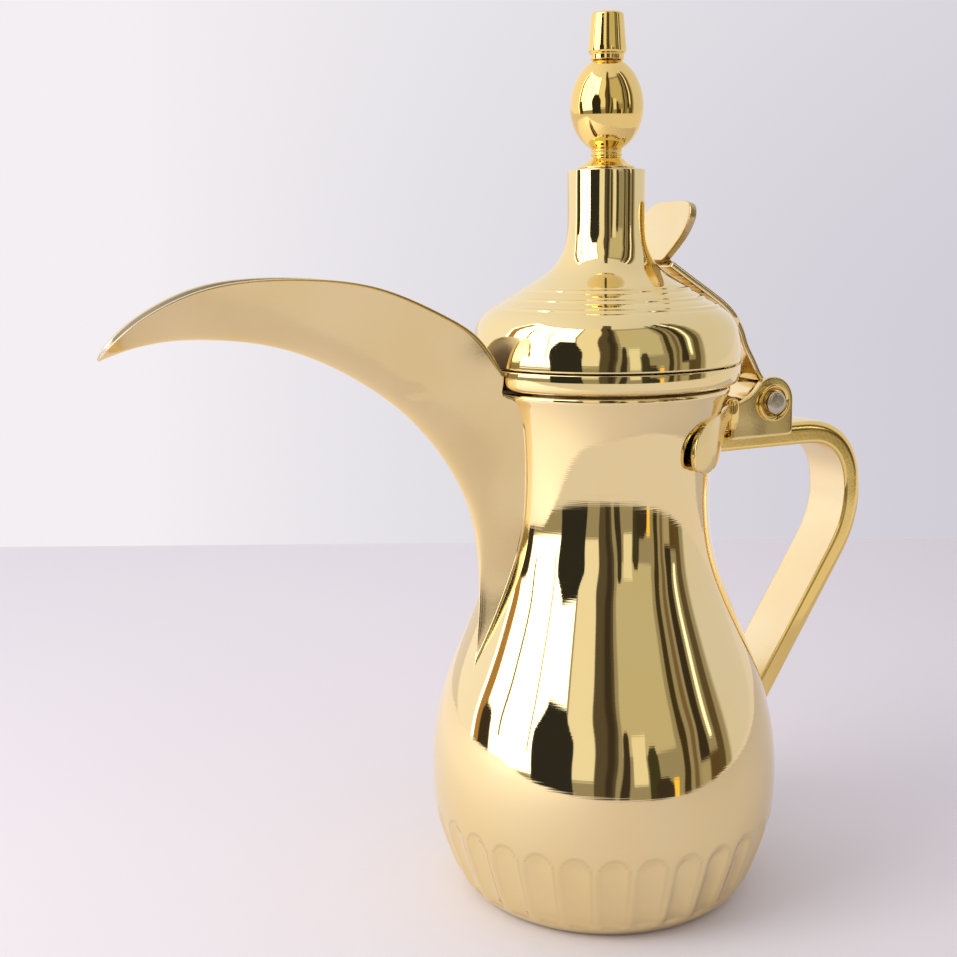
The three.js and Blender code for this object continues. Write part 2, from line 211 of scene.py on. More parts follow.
def swept_points(line, section):
    """A section carried along a line in the X-Z plane. section is (count, 2) or
    (rows, count, 2): how far along Y, and how far along the line's left-hand normal."""
    along = unit(np.gradient(line, axis=0))
    side, out = np.broadcast_to(section, (len(line),) + section.shape[-2:]).T
    x = line[:, 0] - out * along[:, 1]
    z = line[:, 1] + out * along[:, 0]
    return np.stack([x, side, z]).T


def capped(points):
    """Closes both ends of a swept grid: four rings shrink each end's section to its middle."""
    first, last = points[0], points[-1]
    shares = np.array([0.75, 0.5, 0.25, 0.0])[:, None, None]
    low = first.mean(axis=0) + shares[::-1] * (first - first.mean(axis=0))
    high = last.mean(axis=0) + shares * (last - last.mean(axis=0))
    return np.concatenate([low, points, high])


# ---------------------------------------------------------------- finishes
class Net:
    """Short ways to add nodes to a node tree."""

    def __init__(self, tree):
        self.tree = tree
        tree.nodes.clear()

    def add(self, kind, inputs=None, **settings):
        node = self.tree.nodes.new(kind)
        for key, value in settings.items():
            setattr(node, key, value)
        for key, value in (inputs or {}).items():
            self.put(node.inputs[key], value)
        return node

    def put(self, socket, value):
        if isinstance(value, bpy.types.NodeSocket):
            self.tree.links.new(value, socket)
        elif isinstance(value, (tuple, list)) and socket.type == "RGBA" and len(value) == 3:
            socket.default_value = (*value, 1)
        else:
            socket.default_value = value

    def math(self, operation, a, b=0.0, c=0.0):
        return self.add("ShaderNodeMath", {0: a, 1: b, 2: c}, operation=operation).outputs[0]

    def ramp(self, value, low, high, to_low=0.0, to_high=1.0, smooth=True):
        kind = "SMOOTHSTEP" if smooth else "LINEAR"
        return self.add("ShaderNodeMapRange", {0: value, 1: low, 2: high, 3: to_low, 4: to_high},
                        interpolation_type=kind).outputs[0]

    def blend(self, factor, a, b):
        node = self.add("ShaderNodeMix", data_type="RGBA")
        self.put(node.inputs[0], factor)
        self.put(node.inputs[6], a)
        self.put(node.inputs[7], b)
        return node.outputs[2]

    def noise(self, vector, scale, detail=2.0, rough=0.5):
        return self.add("ShaderNodeTexNoise", {"Vector": vector, "Scale": scale,
                                               "Detail": detail, "Roughness": rough}).outputs[0]

    def stretched(self, vector, scale):
        return self.add("ShaderNodeMapping", {"Vector": vector, "Scale": scale}).outputs[0]

    def end(self, kind, last):
        """Joins the last node to the tree's output."""
        self.tree.links.new(last.outputs[0], self.add(kind).inputs[0])


def plated_metal(name, tone, tint, rough, lines="round", line_depth=0.02, ripple=0.05,
                 smudge=0.05, crease_shaded=False):
    """Polished plate: two close tones drifting over the piece, faint polishing lines
    (round the axis, along the piece, or crossed), finger smudges that dull the gloss,
    and a slow ripple of hand work."""
    finish = bpy.data.materials.new(name)
    finish.use_nodes = True
    net = Net(finish.node_tree)
    place = net.add("ShaderNodeTexCoord").outputs["Object"]
    drift = net.noise(place, 28.0, 3.0)
    clouds = net.noise(place, 9.0, 2.0)
    colour = net.blend(net.ramp(drift, 0.35, 0.7), tone, tint)
    colour = net.blend(net.ramp(clouds, 0.5, 0.8, 0.0, 0.35), colour,
                       tuple(0.93 * c for c in tone))
    # painted shade: the colour darkens towards half its tone, by up to 0.38, along the flutes'
    # outlines
    if crease_shaded:
        painted_crease_shade = net.add("ShaderNodeAttribute", attribute_name="painted_crease_shade").outputs["Fac"]
        colour = net.blend(net.math("MULTIPLY", painted_crease_shade, 0.38), colour,
                           tuple(0.5 * c for c in tone))
    smears = net.ramp(net.noise(place, 75.0, 5.0, 0.62), 0.52, 0.78)
    patches = net.ramp(net.noise(place, 16.0, 2.0), 0.45, 0.62)
    dulling = net.math("MULTIPLY", smears, patches)
    gloss = net.math("MULTIPLY_ADD", dulling, smudge, rough)
    scales = {"round": (12, 12, 2600), "along": (2200, 60, 60), "crossed": (900, 300, 900)}
    grain = net.noise(net.stretched(place, scales[lines]), 1.0, 2.0)
    fine = net.add("ShaderNodeBump", {"Strength": line_depth, "Distance": 0.0002,
                                      "Height": grain}).outputs[0]
    wavy = net.add("ShaderNodeBump", {"Strength": ripple, "Distance": 0.004,
                                      "Height": net.noise(place, 38.0, 1.0),
                                      "Normal": fine}).outputs[0]
    shader = net.add("ShaderNodeBsdfPrincipled", {"Base Color": colour, "Metallic": 1.0,
                                                  "Roughness": gloss, "Normal": wavy})
    net.end("ShaderNodeOutputMaterial", shader)
    return finish


CHAMPAGNE, CHAMPAGNE_WARM = (0.86, 0.70, 0.38), (0.87, 0.69, 0.35)
body_gold = plated_metal("spun_champagne_gold", CHAMPAGNE, CHAMPAGNE_WARM, 0.035,
                         "round", 0.03, 0.03)
# the fluted finish darkens the flutes' outlines with painted shade
fluted_gold = plated_metal("fluted_champagne_gold", CHAMPAGNE, CHAMPAGNE_WARM, 0.035,
                           "round", 0.03, 0.03, crease_shaded=True)
spout_gold = plated_metal("satin_spout_gold", (0.82, 0.65, 0.35), (0.79, 0.61, 0.30), 0.13,
                          "crossed", 0.03, 0.03)
lid_gold = plated_metal("lid_gold", (0.85, 0.70, 0.36), (0.86, 0.68, 0.32), 0.045,
                        "round", 0.04, 0.03)
bar_gold = plated_metal("handle_gold", (0.88, 0.66, 0.24), (0.86, 0.62, 0.20), 0.08,
                        "crossed", 0.03, 0.05)
bar_satin = plated_metal("handle_inner_gold", (0.90, 0.75, 0.46), (0.89, 0.71, 0.40), 0.26,
                         "crossed", 0.03, 0.05)
leaf_gold = plated_metal("thumb_leaf_gold", (0.86, 0.71, 0.42), (0.84, 0.67, 0.36), 0.12,
                         "crossed", 0.05, 0.08)
cast_gold = plated_metal("bracket_gold", (0.82, 0.65, 0.31), (0.78, 0.60, 0.26), 0.14,
                         "crossed", 0.05, 0.30)
knob_gold = plated_metal("deep_knob_gold", (0.89, 0.66, 0.24), (0.87, 0.61, 0.19), 0.035,
                         "round", 0.05, 0.03)
lining = plated_metal("dull_tin_lining", (0.68, 0.62, 0.59), (0.58, 0.53, 0.51), 0.30,
                      "crossed", 0.08, 0.06, 0.12)
pin_steel = plated_metal("worn_pin_steel", (0.60, 0.54, 0.42), (0.48, 0.43, 0.33), 0.28,
                         "crossed", 0.25, 0.10, 0.15)
solder = plated_metal("browned_solder", (0.40, 0.27, 0.12), (0.28, 0.17, 0.08), 0.35,
                      "crossed", 0.5, 0.5, 0.2)
edge_gold = plated_metal("filed_edge_gold", (0.62, 0.50, 0.25), (0.50, 0.38, 0.18), 0.30,
                         "crossed", 0.5, 0.3, 0.2)


# ---------------------------------------------------------------- body
BODY_LINE = [(42.0, 0.0), (47.3, 5.0), (51.9, 15.0), (55.2, 25.5), (56.5, 38.0), (55.4, 55.0),
             (51.7, 70.0), (45.8, 85.0), (39.7, 100.0), (35.4, 113.0), (33.6, 125.5),
             (33.6, 138.0), (34.8, 151.0), (37.0, 160.5), (38.4, 163.8)]
WALL = 1.3
FLUTES = 30
FLUTE_TURN = math.radians(7.7)  # where the first ridge stands
FLUTE_DEPTH = 1.25
FLUTE_LOW, FLUTE_HIGH = 5.0, 31.0
HEAD_DROP = 6.5  # how much lower a flute's head ends beside its ridges
COLUMNS = 13 * FLUTES
RIM_TOP = 166.8
HOLE_RADIUS = 1.8
HOLE_HEIGHTS = (126.0, 134.0, 142.0, 150.0)
HOLE_LEVEL = 136.0  # the holes are spread round the wall by its radius at this height
HOLE_ROWS, HOLE_COLUMNS = 3, 8  # the patch of the wall's grid round each hole


BODY_FINE = smooth_through(BODY_LINE, 400)


def body_radius(z):
    """Radius of the body's outer wall at height z."""
    return np.interp(z, BODY_FINE[:, 1], BODY_FINE[:, 0])


def from_panel(angle):
    """0 in the middle of a flute's panel, 1 on the ridge between two."""
    turn = (angle - FLUTE_TURN) / (TAU / FLUTES)
    return 2 * np.abs(turn - np.floor(turn) - 0.5)


def head_height(u, top):
    """Height of a flute's arched head, lower towards its ridges."""
    return top - HEAD_DROP * np.clip(u, 0, 1) ** 2.5


def flute_depth(angle, z):
    """How far a flute is pressed in: hollow across its panel, straight at its foot,
    and arched at its head, where the panel's edges end lower than its middle."""
    u = from_panel(angle)
    across = np.clip(1 - (u / 0.84) ** 2.4, 0, 1) * (1 - 0.35 * step_up(u, 0.66, 0.86))
    head = head_height(u, FLUTE_HIGH + 0.6)
    return (FLUTE_DEPTH * across * (1 - step_up(z, head - 4.2, head))
            * step_up(z, FLUTE_LOW - 0.9, FLUTE_LOW + 0.9))


def flute_crease_shade(angle, z):
    """Share of painted shade: 1 along a flute's outline, where its hollow meets the round of
    the body, else 0.
    """
    u = from_panel(angle)
    head = head_height(u, FLUTE_HIGH + 0.2)
    flank_line = np.exp(-((u - 0.82) / 0.07) ** 2) * step_up(z, FLUTE_LOW, FLUTE_LOW + 2)
    flank_line = flank_line * (1 - step_up(z, head, head + 1.2)) * (0.35 + 0.65 * (z - 5) / 26)
    head_line = np.exp(-((z - head) / 0.55) ** 2) * (u < 0.86)
    foot_line = np.exp(-((z - FLUTE_LOW + 0.2) / 0.5) ** 2) * (u < 0.62)
    return np.clip(np.maximum(np.maximum(0.7 * flank_line, 0.8 * head_line), foot_line), 0, 1)


def body_profile():
    """Outer line, rim bead and inner line as one ring of (radius, height), how many of its
    rows are the outer wall, and where its inner rows start, level with the top outer ones."""
    low = np.concatenate([np.array([0.0, 0.35, 0.9, 1.8, 2.9]), np.arange(4.0, 34.1, 0.65)])
    high = np.arange(35.0, 163.3, 1.6)
    z = np.concatenate([low, high])
    r = body_radius(z)
    r[0] -= 0.9
    r[1] -= 0.3
    outer = np.stack([r, z], axis=-1)
    bead = soft_corners([(38.35, 163.6), (39.5, 165.5), (39.2, RIM_TOP), (37.6, RIM_TOP),
                         (37.1, 165.2), (36.9, 163.2)], 0.7, 4)
    inner_z = np.concatenate([high[::-1], [30.0, 22.0, 14.0, 8.0, 4.0]])
    inner_r = body_radius(inner_z) - np.where(inner_z < 40, 2.1, WALL)
    inner = np.stack([inner_r, inner_z], axis=-1)
    floor = np.array([(43.5, 2.6), (39.9, 1.9), (39.9, 0.2)])
    return np.concatenate([outer, bead, inner, floor]), len(outer), len(outer) + len(bead)


def inner_radius(z):
    """Radius of the wall's inside above the flutes."""
    return body_radius(z) - WALL


def hole_rings(column, row, heights, hole_z):
    """A round hole through the wall inside a patch of the grid: the patch's edge on the
    outer wall closes in on a circle, the circle goes through to the inner wall, and opens
    out to the patch's edge there. Rings of points over (run round the wall, height)."""
    right, top = column + HOLE_COLUMNS, row + HOLE_ROWS
    loop = np.array([(c, top) for c in range(column, right)]
                    + [(right, r) for r in range(top, row, -1)]
                    + [(c, row) for c in range(right, column, -1)]
                    + [(column, r) for r in range(row, top)])
    middle = (column + right) / 2 * TAU / COLUMNS
    round_wall = body_radius(HOLE_LEVEL)
    du = (loop[:, 0] * TAU / COLUMNS - middle) * round_wall
    dv = heights[loop[:, 1]] - hole_z
    bearing = np.arctan2(dv, du)
    rings = []
    for skin, shares in ((body_radius, (0.0, 0.5, 0.85, 1.0)),
                         (inner_radius, (1.0, 0.85, 0.5, 0.0))):
        for s in shares:
            u = du + (HOLE_RADIUS * np.cos(bearing) - du) * s
            z = hole_z + dv + (HOLE_RADIUS * np.sin(bearing) - dv) * s
            a = middle + u / round_wall
            rings.append(np.stack([skin(z) * np.cos(a), skin(z) * np.sin(a), z], axis=-1))
    return np.array(rings)


def make_body():
    """The fluted, bellied body: radius(height) less flute_depth(angle, height), turned
    round the axis, with strainer holes let into the wall behind the spout."""
    profile, outer_rows, inner_start = body_profile()
    a = np.arange(COLUMNS) * TAU / COLUMNS
    r = np.repeat(profile[:, :1], COLUMNS, axis=1)
    z = np.repeat(profile[:, 1:2], COLUMNS, axis=1)
    r[:outer_rows] -= flute_depth(a[None, :], z[:outer_rows])
    pts = np.stack([r * np.cos(a), r * np.sin(a), z], axis=-1)
    # painted shade along the flutes' outlines, handed to the finish as a point attribute
    marks = np.zeros(r.shape)
    marks[:outer_rows] = flute_crease_shade(a[None, :], z[:outer_rows])
    quads = grid_quads(len(profile), COLUMNS, rows_close=True)
    row, col = np.divmod(np.arange(len(quads)), COLUMNS)
    keep = np.ones(len(quads), bool)
    points, faces, areas = [pts.reshape(-1, 3)], [], []
    count = len(points[0])
    for hole_z in HOLE_HEIGHTS:
        r0 = int(np.argmin(np.abs(profile[:outer_rows, 1] - hole_z + 2.4)))
        inner_r0 = inner_start + outer_rows - 1 - r0 - HOLE_ROWS
        for shift in -12, -4, 4:
            c0 = COLUMNS // 2 + shift
            for first in r0, inner_r0:
                keep &= ~((row >= first) & (row < first + HOLE_ROWS)
                          & (col >= c0) & (col < c0 + HOLE_COLUMNS))
            rings = hole_rings(c0, r0, profile[:outer_rows, 1], hole_z)
            faces.append(grid_quads(*rings.shape[:2]) + count)
            points.append(rings.reshape(-1, 3))
            count += len(points[-1])
            areas.append(np.repeat([0, 0, 0, 1, 1, 1, 1], rings.shape[1]))
    lined = ((row >= inner_start - 1) & (row < len(profile) - 3)).astype(int)
    marks = np.concatenate([marks.ravel(), np.zeros(count - marks.size)])
    make_piece("body_shell_skin", "pot", np.concatenate(points), [fluted_gold, lining],
               ["body_shell"], quads=np.concatenate([quads[keep]] + faces),
               areas=np.concatenate([lined[keep]] + areas), seam=4e-6, crease_shade=marks)


def make_base():
    """The base: a shallow dished disc with a rolled edge, turned."""
    edge = corner_mm("base_plate")[1][0]
    line = soft_corners([(0, 0.5), (30.0, 0.5), (34.0, 0.0), (edge, 0.0), (edge, 1.4), (0, 1.4)],
                        0.6, 4)
    turned_piece("base_disc", "pot", line, 180, [body_gold], ["base_plate"], ring=False)


# ---------------------------------------------------------------- spout
# for each rib: keel X, Z, upper edge X, Z, half width
SPOUT_RIBS = np.array([
    (-46.6, 79, -43.5, 79, 0.7), (-46.6, 87, -39, 89, 2.6), (-45.9, 96, -35, 99, 3.7),
    (-45.5, 106, -32, 109, 4.4), (-45.8, 115, -30, 120, 6), (-47.6, 127, -29.5, 132, 7.7),
    (-51.6, 138, -30, 145, 8.8), (-57.6, 148, -33, 157, 9.8), (-64, 156, -38.4, 167, 10.2),
    (-71, 163, -43.8, 175.6, 10.2), (-79.5, 169.5, -50.5, 184.6, 9.6),
    (-90, 175.9, -62, 191.8, 8.8), (-102, 181.4, -80, 199.3, 8), (-114.5, 184.9, -100, 202.4, 7.1),
    (-127, 186.5, -120, 202.2, 6.4), (-138, 186.8, -135, 199, 5.4),
    (-147.5, 185.6, -147, 193.2, 4.3), (-153.5, 184, -154, 187.9, 3.6),
    (-156.8, 182.9, -157, 185, 2.7), (-158.4, 182.2, -158.6, 182.9, 0.9)])
SPOUT_WALL = 1.5
LID_ROOM = 43.3  # radius kept free round the lid
KEEL_ROUND = 0.85
DENT_AT = (-69.1, 168.6)
BODY_TOP = 163.0  # where the body's outer line meets its rim


def spout_stop(z):
    """Radius where the trough's walls end: inside the body's own wall, or, beside the lid,
    clear of it."""
    in_wall = body_radius(np.minimum(z, BODY_TOP)) - 0.6
    beside_lid = np.where(z > 184.0, 0.0, LID_ROOM)
    share = step_up(z, 164.5, 167.2)
    return in_wall * (1 - share) + beside_lid * share


def flank(rise):
    """Half width of the trough's section, as a share, at a share of its height: a hyperbola,
    round at the keel and nearly straight up the flanks."""
    return np.sqrt(rise * rise + 2 * KEEL_ROUND * rise) / math.sqrt(1 + 2 * KEEL_ROUND)


def spout_shape():
    """The ribs' keels, edges and half widths, splined along the trough, and the outer skin
    from keel to edge over them: x, y, z of each rib's angle a, from 0 to a quarter turn."""
    ribs = smooth_through(SPOUT_RIBS, 170, by_number=True)
    keel, edge = ribs[:, 0:2], ribs[:, 2:4]
    half = np.maximum(ribs[:, 4], 0.4)
    a = np.linspace(0, np.pi / 2, 300)[None, :]
    rise = 1 - np.cos(a)
    x = keel[:, :1] + (edge - keel)[:, :1] * rise
    z = keel[:, 1:] + (edge - keel)[:, 1:] * rise
    return keel, edge, half, a, (x, half[:, None] * flank(rise), z)


def make_spout():
    """The trough. Round each rib goes an angle a from one edge under the keel to the other:
    rise along keel-to-edge is 1 - cos a and half width goes as flank(rise); a second, smaller
    rib makes the inside, and half circles join them over the rims. Each rib stops where it
    meets the body."""
    sides, lip = 44, 5
    keel, edge, half, a, (x, y, z) = spout_shape()
    reach = np.linalg.norm(edge - keel, axis=1)
    wall = np.minimum(np.minimum(SPOUT_WALL, reach * 0.38), half * 0.5)
    inside = np.hypot(x, y) < spout_stop(z)
    first = np.where(inside.any(axis=1), inside.argmax(axis=1), a.shape[1] - 1)
    a_stop = np.maximum(a[0, first], 0.12)
    skins = []
    for inset, turns in ((0 * wall, np.linspace(1, -1, 2 * sides + 1)),
                         (wall, np.linspace(-1, 1, 2 * sides + 1))):
        angle = a_stop[:, None] * turns[None, :]
        up = (inset / reach)[:, None]
        rise = up + (1 - up) * (1 - np.cos(angle))
        px = keel[:, :1] + (edge - keel)[:, :1] * rise
        pz = keel[:, 1:] + (edge - keel)[:, 1:] * rise
        py = (half - inset)[:, None] * flank(1 - np.cos(angle)) * np.sign(angle)
        skins.append(np.stack([px, py, pz], axis=-1))
    outer, inner = skins
    knock = np.hypot((outer[..., 0] - DENT_AT[0]) / 3.4, (outer[..., 2] - DENT_AT[1]) / 1.7)
    outer[..., 1] += (outer[..., 1] < 0) * 0.3 * np.exp(-knock ** 2)
    lips = []
    turn = np.linspace(0, np.pi, lip + 2)[1:-1]
    for start, end, rim, below in ((outer[:, -1], inner[:, 0], outer[:, -1], outer[:, -2]),
                                   (inner[:, -1], outer[:, 0], outer[:, 0], outer[:, 1])):
        side = (start - end) / 2
        up = (rim - below) / (np.linalg.norm(rim - below, axis=1)[:, None] + 1e-9)
        size = np.linalg.norm(side, axis=1)[:, None] * 0.5
        lips.append(((start + end) / 2)[:, None] + side[:, None] * np.cos(turn)[None, :, None]
                    + (up * size)[:, None] * np.sin(turn)[None, :, None])
    section = np.concatenate([outer, lips[0], inner, lips[1]], axis=1)
    columns = section.shape[1]
    section = np.concatenate([np.repeat(section[:1].mean(axis=1, keepdims=True), columns, 1),
                              section,
                              np.repeat(section[-1:].mean(axis=1, keepdims=True), columns, 1)])
    column, inner_from = np.arange(columns), outer.shape[1] + lip
    lined = (column >= inner_from) & (column < inner_from + inner.shape[1] - 1)
    make_piece("spout_trough", "pot", section, [spout_gold, lining], ["spout_shell"],
               areas=np.tile(lined, len(section) - 1))


def make_spout_seam():
    """The soldered seam: a thin bead down one flank's foot, round the heel and up the
    other, of radius 0.42 + 0.6 at the heel + 0.04 sin(61 run + 1)."""
    keel, _, _, _, (x, y, z) = spout_shape()
    on_skin = np.hypot(x, y) < body_radius(np.minimum(z, BODY_TOP)) + 0.15
    meets = on_skin.any(axis=1) & (keel[:, 1] < 150)
    rib, at = np.nonzero(meets)[0], on_skin.argmax(axis=1)[meets]
    side = np.stack([x[rib, at], -y[rib, at], z[rib, at]], -1)
    side = side[side[:, 2] < BODY_TOP + 0.5][::-1]
    far = side[::-1] * np.array([1, -1, 1])
    path = eased(evenly(np.concatenate([side, far]), 260), 5)
    along = unit(np.gradient(path, axis=0))
    u = unit(np.cross(along, unit(path * np.array([1, 1, 0]))))
    w = np.cross(u, along)
    run = np.linspace(0, 1, len(path))
    thick = 0.42 + 0.6 * np.exp(-((run - 0.5) / 0.035) ** 2) + 0.04 * np.sin(run * 61 + 1)
    thick = (thick * step_up(np.minimum(run, 1 - run), -0.004, 0.02))[:, None, None]
    a = np.linspace(0, TAU, 14, endpoint=False)[None, :, None]
    tube = capped(path[:, None] + thick * (np.cos(a) * u[:, None] + np.sin(a) * w[:, None]))
    make_piece("spout_solder_bead", "pot", tube, [body_gold], ["spout_shell"])


# ---------------------------------------------------------------- handle
BAR_TOP = 149.2
BAR_HALF = 9.5
BAR_INSET = 6.5  # how far the inner face lies inside the bends' outer curve
TIGHT_BEND, WIDE_BEND = 20.0, 38.0
BAR_CORNER = np.array([78.8, 129.2])  # the tight bend's middle


def bar_line():
    """The bar's inner face in side view: level from the neck, round a tight bend, round a
    wider one, then straight and slanting down to the belly."""
    meet, slant = math.radians(15), math.radians(33.3)
    wide_middle = (BAR_CORNER
                   + (TIGHT_BEND - WIDE_BEND) * np.array([math.cos(meet), math.sin(meet)]))
    level = np.stack([np.linspace(30.0, BAR_CORNER[0], 30),
                      np.full(30, BAR_TOP - BAR_INSET)], -1)
    bends = []
    for middle, radius, a in (
            (BAR_CORNER, TIGHT_BEND, np.linspace(math.pi / 2, meet, 40)[1:]),
            (wide_middle, WIDE_BEND, np.linspace(meet, -slant, 60)[1:])):
        bends.append(middle + (radius - BAR_INSET) * np.stack([np.cos(a), np.sin(a)], -1))
    run = np.linspace(0, 62.0, 60)[1:, None]
    straight = bends[1][-1] - run * np.array([math.sin(slant), math.cos(slant)])
    even = evenly(np.concatenate([level, *bends, straight]), 260)
    line = eased(even, 13)
    line[:3], line[-3:] = even[:3], even[-3:]
    return line


def bar_section():
    """Across the bar: a flat inner face with small round edges, and a back that curves
    down to its sides."""
    side, back = BAR_HALF + 0.1, BAR_HALF - 1.2
    corners = [(-BAR_HALF, 0.2), (BAR_HALF, 0.2), (side, 5.8), (back, 7.6), (0.0, 7.9),
               (-back, 7.6), (-side, 5.8)]
    return evenly(soft_corners(corners, [0.8, 0.8, 1.1, 1.0, 5.0, 1.0, 1.1], 8, closed=True),
                  110, closed=True)


def make_handle():
    """The bar: bar_section carried along bar_line. Where a long line of it would run into
    the body, it stops just inside the body's skin."""
    section = bar_section()
    pts = swept_points(bar_line(), section)
    skin = body_radius(np.clip(pts[..., 2], 0, BODY_TOP)) - 0.5
    inside = np.hypot(pts[..., 0], pts[..., 1]) < skin
    n, columns = inside.shape
    half = n // 2
    from_row = np.where(inside[:half].any(0), half - 1 - inside[:half][::-1].argmax(0), 0)
    to_row = np.where(inside[half:].any(0), half + inside[half:].argmax(0), n - 1)
    rows = from_row[None, :] + (to_row - from_row)[None, :] * np.linspace(0, 1, n)[:, None]
    low = np.floor(rows).astype(int).clip(0, n - 2)
    part = (rows - low)[..., None]
    cols = np.arange(columns)[None, :]
    closed = capped(pts[low, cols] * (1 - part) + pts[low + 1, cols] * part)
    make_piece("handle_bar_bent", "pot", closed, [bar_gold, bar_satin], ["handle_bar"],
               areas=np.tile(section[:, 1] < 0.5, len(closed) - 1))


# ---------------------------------------------------------------- hinge
EAR_IN, EAR_THICK = 10.3, 2.4
EAR_RADIUS = 8.4
EAR_FRONT, EAR_FOOT, DIP_START = 41.0, 147.0, 158.3


def ear_outline(count):
    """The ear's edge, going round the pin: a round head, a straight back, a square bottom
    and a front that dips to the fold."""
    head = np.radians(np.linspace(125, 0, 40))
    round_head = np.stack([PIN_X + EAR_RADIUS * np.cos(head),
                           PIN_Z + EAR_RADIUS * np.sin(head)], -1)
    back = soft_corners([(PIN_X + EAR_RADIUS, PIN_Z - 1), (PIN_X + EAR_RADIUS, EAR_FOOT),
                         (EAR_FRONT, EAR_FOOT), (EAR_FRONT, DIP_START)], [0, 1.4, 0.6, 0], 6)
    u = np.linspace(0, 1, 16)[1:, None]
    start, middle = np.array([EAR_FRONT, DIP_START]), np.array([48.5, 159.3])
    dip = (1 - u) ** 2 * start + 2 * u * (1 - u) * middle + u ** 2 * round_head[0]
    return evenly(np.concatenate([round_head, back, dip[:-1]]), count, closed=True)


def plate_points(outline, centre, hole, thick, edge, mapping):
    """A flat plate, polar about its centre: rings run from the hole (or the centre) out to
    the edge on one face, round the edge, and back on the other face. mapping puts points of
    the plate at a height into space."""
    length = np.linalg.norm(outline - centre, axis=1)
    away = unit(outline - centre)
    chamfer = 0.25 if hole > 0 else 0.0
    bend = np.linspace(0, np.pi / 2, 6)
    shares = np.append(np.linspace(0, 0.9, 7), 1.0)
    face = [hole + (length - edge - hole) * f + (chamfer if f == 0 else 0) for f in shares]
    out = [length - edge + edge * math.sin(q) for q in bend]
    deep = list(edge - edge * np.cos(bend))
    rings = list(zip(face, [0.0] * 8)) + list(zip(out[1:], deep[1:]))
    rings += [(reach, thick - d) for reach, d in zip(out[::-1], deep[::-1])]
    rings += list(zip(face[-2::-1], [thick] * 7))
    if hole > 0:
        bore = np.full(len(outline), hole)
        rings = [(bore, chamfer)] + rings + [(bore, thick - chamfer)]
    return np.array([mapping(centre + away * reach[:, None], h) for reach, h in rings])


def make_ear(side, name):
    """One ear of the bracket: a flat plate bored for the pin. side is 1 near, -1 far."""
    def place(uv, height):
        y = -side * (EAR_IN + EAR_THICK - height)
        return np.stack([uv[:, 0], np.full(len(uv), y), uv[:, 1]], -1)

    pts = plate_points(ear_outline(120), np.array([PIN_X, PIN_Z]), 3.15, EAR_THICK, 0.45, place)
    make_piece(name, "pot", pts, [cast_gold], ["hinge_bracket"], ring=True)


# for each row of the lug: run from its tip, middle height, half height
LUG_ROWS = np.array([
    (0.4, 148.0, 2.4), (1.2, 148.2, 4.4), (3, 148.7, 6.0), (6, 149.2, 7.5), (10, 149.8, 8.1),
    (15, 150.8, 7.6), (19, 152.3, 6.3), (23, 154.4, 4.4), (27, 155.9, 3.2), (31, 156.8, 2.6),
    (37, 157.2, 2.3)])
LUG_RADIUS, LUG_THICK, LUG_EDGE = 37.6, 1.7, 0.55
LUG_TIP, LUG_LEAVES = math.radians(-76), math.radians(-47)  # where it lies on the neck


def lug_section():
    """Round the lug's section: share of the half height, how far past it, and depth."""
    q = np.linspace(0, np.pi / 2, 6)
    out, deep = LUG_EDGE * np.sin(q), LUG_EDGE * (1 - np.cos(q))
    y = np.linspace(-1, 1, 15)
    flat = np.zeros(len(y))
    share = np.concatenate([y, np.ones(11), y[-2::-1], -np.ones(10)])
    past = np.concatenate([flat, out[1:], out[::-1], flat[1:], -out[1:], -out[:0:-1]])
    depth = np.concatenate([flat, deep[1:], LUG_THICK - deep[::-1], flat[1:] + LUG_THICK,
                            LUG_THICK - deep[1:], deep[:0:-1]])
    return share[None, :], past[None, :], depth[None, :]


def make_lug(side, name):
    """The leaf-shaped lug: a rounded strip whose middle height and half height follow the
    leaf, wrapped round the neck and then straight on, at a tangent, to the ear."""
    run = np.concatenate([4 * np.linspace(0, 1, 24) ** 2, np.linspace(4, 37, 60)[1:]])
    fine = smooth_through(LUG_ROWS, 400)
    mid = np.interp(run, fine[:, 0], fine[:, 1])
    round_tip = 6.0 * np.sqrt(np.clip(1 - (1 - run / 3) ** 2, 0, 1))
    half = np.where(run < 3, round_tip, np.interp(run, fine[:, 0], fine[:, 2]))
    share, past, depth = lug_section()
    z = (mid[:, None] + share * np.maximum(half - LUG_EDGE, 0)[:, None]
         + past * np.minimum(1, half / LUG_EDGE)[:, None])
    angle = np.minimum(LUG_TIP + run / LUG_RADIUS, LUG_LEAVES)[:, None]
    onward = np.maximum(run - LUG_RADIUS * (LUG_LEAVES - LUG_TIP), 0)[:, None]
    crown = 0.35 * (share * half[:, None] / 8) ** 2
    radius = LUG_RADIUS - depth - crown
    x = radius * np.cos(angle) - onward * np.sin(angle)
    y = radius * np.sin(angle) + onward * np.cos(angle)
    pts = capped(np.stack([x, y * side, z], -1))
    make_piece(name, "pot", pts, [cast_gold], ["hinge_bracket"])


def make_fold(side, name):
    """Where the sheet turns from the ear to the lug: a small upright roll, turned."""
    line = soft_corners([(0, -5.8), (1.2, -5.4), (1.8, -3.4), (2.15, -0.5), (2.2, 3.2),
                         (1.4, 4.5), (0, 4.7)], [0, 0.8, 1.5, 1.5, 1.3, 0.8, 0], 6)
    pts = turned_points(line, 40)
    pts = pts + np.array([40.9, -side * (EAR_IN + 2.6), 156.2])
    make_piece(name, "pot", pts, [bar_gold], ["hinge_bracket"])


def make_web():
    """The bracket's floor between its ears: a rounded strip across the handle's top."""
    section = evenly(soft_corners([(-8, -0.8), (8, -0.8), (8, 0.7), (-8, 0.7)], 0.5, 5, True),
                     60, True)
    y = np.linspace(-EAR_IN - 0.4, EAR_IN + 0.4, 8)
    x, z = np.repeat(section[None], len(y), axis=0).transpose(2, 0, 1)
    pts = capped(np.stack([52 + x, y[:, None] + 0 * x, BAR_TOP + 1.9 + z], -1))
    make_piece("bracket_web", "pot", pts, [cast_gold], ["hinge_bracket"])


